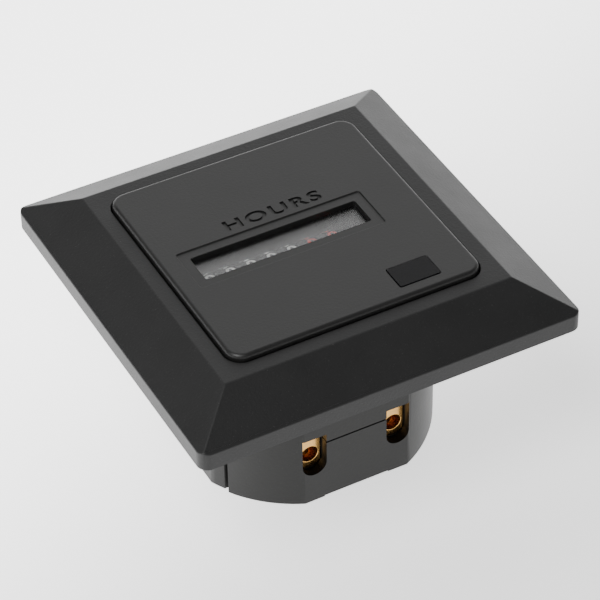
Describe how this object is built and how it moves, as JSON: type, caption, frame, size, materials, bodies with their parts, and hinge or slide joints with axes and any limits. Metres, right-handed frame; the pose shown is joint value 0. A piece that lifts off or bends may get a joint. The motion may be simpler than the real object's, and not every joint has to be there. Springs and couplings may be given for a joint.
{
  "type": "panel hour meter",
  "caption": "Square panel hour meter: rolling-number counter behind a window, running-indicator lens, sloped adapter bezel, rounded-square body with screw terminals.",
  "frame": {"origin": "centre of the bezel's rear face, in the plane of the panel", "axes": "+Z out of the dial, +X to the right and +Y up as the counter is read"},
  "size_m": [0.072, 0.072, 0.0413],
  "materials": {
    "bezel_plastic": "fine spark-eroded grain",
    "cover_plastic": "smooth satin moulding",
    "clear_lens": "clear polished plastic",
    "smoked_lens": "smoked polished plastic",
    "housing_plastic": "smooth satin moulding",
    "terminal_brass": "bright drawn brass",
    "screw_steel": "zinc-plated steel",
    "frame_plastic": "natural moulding",
    "black_wheel": "black moulding with white numerals",
    "decimal_wheel": "black moulding with red numerals",
    "pinion_plastic": "natural acetal",
    "gear_plastic": "natural acetal",
    "magnet": "sintered magnet",
    "soft_iron": "bare stamped iron",
    "bobbin_plastic": "black moulding",
    "copper_wire": "enamelled copper wire",
    "contact_brass": "tinned brass",
    "indicator_plastic": "striped moulding",
    "board_laminate": "green solder mask",
    "film_capacitor": "boxed film capacitor",
    "capacitor_sleeve": "shrink sleeve",
    "resistor_lacquer": "lacquered",
    "black_package": "moulded package",
    "crystal_can": "drawn can"
  },
  "bodies": {
    "case": {"bezel_frame": "bezel_plastic", "front_cover": "cover_plastic", "window_lens": "clear_lens", "indicator_lens": "smoked_lens", "rear_housing": "housing_plastic", "terminal_left": "terminal_brass", "terminal_right": "terminal_brass", "movement_frame": "frame_plastic", "outer_bridge": "frame_plastic", "motor_bridge": "frame_plastic", "counter_shaft": "screw_steel", "pinion_shaft": "screw_steel", "stator": "soft_iron", "coil_core": "soft_iron", "coil_bobbin": "bobbin_plastic", "coil_winding": "copper_wire", "coil_pins": "contact_brass", "circuit_board": "board_laminate", "dropper_capacitor": "film_capacitor", "smoothing_capacitor": "capacitor_sleeve", "resistor": "resistor_lacquer", "rectifier": "black_package", "quartz_crystal": "crystal_can", "driver_chip": "black_package", "bridge_screws": "screw_steel", "motor_screws": "screw_steel"},
    "rotor": {"rotor_shaft": "gear_plastic", "rotor_magnet": "magnet"},
    "first_wheel_body": {"first_wheel": "gear_plastic"},
    "second_wheel_body": {"second_wheel": "gear_plastic"},
    "indicator_drum_body": {"indicator_drum": "indicator_plastic"},
    "wheel_hundredths_body": {"wheel_hundredths": "decimal_wheel"},
    "wheel_tenths_body": {"wheel_tenths": "decimal_wheel"},
    "wheel_units_body": {"wheel_units": "black_wheel"},
    "wheel_tens_body": {"wheel_tens": "black_wheel"},
    "wheel_hundreds_body": {"wheel_hundreds": "black_wheel"},
    "wheel_thousands_body": {"wheel_thousands": "black_wheel"},
    "wheel_ten_thousands_body": {"wheel_ten_thousands": "black_wheel"},
    "carry_pinion_1_body": {"carry_pinion_1": "pinion_plastic"},
    "carry_pinion_2_body": {"carry_pinion_2": "pinion_plastic"},
    "carry_pinion_3_body": {"carry_pinion_3": "pinion_plastic"},
    "carry_pinion_4_body": {"carry_pinion_4": "pinion_plastic"},
    "carry_pinion_5_body": {"carry_pinion_5": "pinion_plastic"},
    "carry_pinion_6_body": {"carry_pinion_6": "pinion_plastic"},
    "terminal_screw_left_body": {"terminal_screw_left": "screw_steel"},
    "terminal_screw_right_body": {"terminal_screw_right": "screw_steel"}
  },
  "joints": [
    {"name": "rotor_spin", "type": "hinge", "parent": "case", "child": "rotor", "pos_m": [0, -0.01292, -0.0076], "axis": [1, 0, 0], "continuous": true},
    {"name": "first_wheel_spin", "type": "hinge", "parent": "case", "child": "first_wheel_body", "pos_m": [0, -0.01292, -0.0004], "axis": [1, 0, 0], "continuous": true},
    {"name": "second_wheel_spin", "type": "hinge", "parent": "case", "child": "second_wheel_body", "pos_m": [0, -0.00556, -0.00444], "axis": [1, 0, 0], "continuous": true},
    {"name": "indicator_drum_spin", "type": "hinge", "parent": "case", "child": "indicator_drum_body", "pos_m": [0, -0.01885, 0.0049], "axis": [1, 0, 0], "continuous": true},
    {"name": "wheel_hundredths_spin", "type": "hinge", "parent": "case", "child": "wheel_hundredths_body", "pos_m": [0, -0.0006, -0.0004], "axis": [1, 0, 0], "continuous": true},
    {"name": "wheel_tenths_spin", "type": "hinge", "parent": "case", "child": "wheel_tenths_body", "pos_m": [0, -0.0006, -0.0004], "axis": [1, 0, 0], "continuous": true},
    {"name": "wheel_units_spin", "type": "hinge", "parent": "case", "child": "wheel_units_body", "pos_m": [0, -0.0006, -0.0004], "axis": [1, 0, 0], "continuous": true},
    {"name": "wheel_tens_spin", "type": "hinge", "parent": "case", "child": "wheel_tens_body", "pos_m": [0, -0.0006, -0.0004], "axis": [1, 0, 0], "continuous": true},
    {"name": "wheel_hundreds_spin", "type": "hinge", "parent": "case", "child": "wheel_hundreds_body", "pos_m": [0, -0.0006, -0.0004], "axis": [1, 0, 0], "continuous": true},
    {"name": "wheel_thousands_spin", "type": "hinge", "parent": "case", "child": "wheel_thousands_body", "pos_m": [0, -0.0006, -0.0004], "axis": [1, 0, 0], "continuous": true},
    {"name": "wheel_ten_thousands_spin", "type": "hinge", "parent": "case", "child": "wheel_ten_thousands_body", "pos_m": [0, -0.0006, -0.0004], "axis": [1, 0, 0], "continuous": true},
    {"name": "carry_pinion_1_spin", "type": "hinge", "parent": "case", "child": "carry_pinion_1_body", "pos_m": [0, 0.00532, -0.00255], "axis": [1, 0, 0], "continuous": true},
    {"name": "carry_pinion_2_spin", "type": "hinge", "parent": "case", "child": "carry_pinion_2_body", "pos_m": [0, 0.00532, -0.00255], "axis": [1, 0, 0], "continuous": true},
    {"name": "carry_pinion_3_spin", "type": "hinge", "parent": "case", "child": "carry_pinion_3_body", "pos_m": [0, 0.00532, -0.00255], "axis": [1, 0, 0], "continuous": true},
    {"name": "carry_pinion_4_spin", "type": "hinge", "parent": "case", "child": "carry_pinion_4_body", "pos_m": [0, 0.00532, -0.00255], "axis": [1, 0, 0], "continuous": true},
    {"name": "carry_pinion_5_spin", "type": "hinge", "parent": "case", "child": "carry_pinion_5_body", "pos_m": [0, 0.00532, -0.00255], "axis": [1, 0, 0], "continuous": true},
    {"name": "carry_pinion_6_spin", "type": "hinge", "parent": "case", "child": "carry_pinion_6_body", "pos_m": [0, 0.00532, -0.00255], "axis": [1, 0, 0], "continuous": true},
    {"name": "terminal_screw_left_turn", "type": "hinge", "parent": "case", "child": "terminal_screw_left_body", "pos_m": [-0.0082, -0.01725, -0.0318], "axis": [0, 0, 1], "range_deg": [0, 1080]},
    {"name": "terminal_screw_right_turn", "type": "hinge", "parent": "case", "child": "terminal_screw_right_body", "pos_m": [0.0082, -0.01725, -0.0318], "axis": [0, 0, 1], "range_deg": [0, 1080]}
  ],
  "couplings": [
    {"joint": "first_wheel_spin", "follows": "rotor_spin", "ratio": -0.2},
    {"joint": "second_wheel_spin", "follows": "rotor_spin", "ratio": 0.04},
    {"joint": "indicator_drum_spin", "follows": "rotor_spin", "ratio": 0.61538},
    {"joint": "wheel_hundredths_spin", "follows": "rotor_spin", "ratio": -0.013333},
    {"joint": "wheel_tenths_spin", "follows": "rotor_spin", "ratio": -0.0013333},
    {"joint": "wheel_units_spin", "follows": "rotor_spin", "ratio": -0.00013333},
    {"joint": "wheel_tens_spin", "follows": "rotor_spin", "ratio": -0.000013333},
    {"joint": "wheel_hundreds_spin", "follows": "rotor_spin", "ratio": -0.0000013333},
    {"joint": "wheel_thousands_spin", "follows": "rotor_spin", "ratio": -0.00000013333},
    {"joint": "wheel_ten_thousands_spin", "follows": "rotor_spin", "ratio": -0.000000013333},
    {"joint": "carry_pinion_1_spin", "follows": "rotor_spin", "ratio": 0.000000033333},
    {"joint": "carry_pinion_2_spin", "follows": "rotor_spin", "ratio": 0.00000033333},
    {"joint": "carry_pinion_3_spin", "follows": "rotor_spin", "ratio": 0.0000033333},
    {"joint": "carry_pinion_4_spin", "follows": "rotor_spin", "ratio": 0.000033333},
    {"joint": "carry_pinion_5_spin", "follows": "rotor_spin", "ratio": 0.00033333},
    {"joint": "carry_pinion_6_spin", "follows": "rotor_spin", "ratio": 0.0033333}
  ]
}
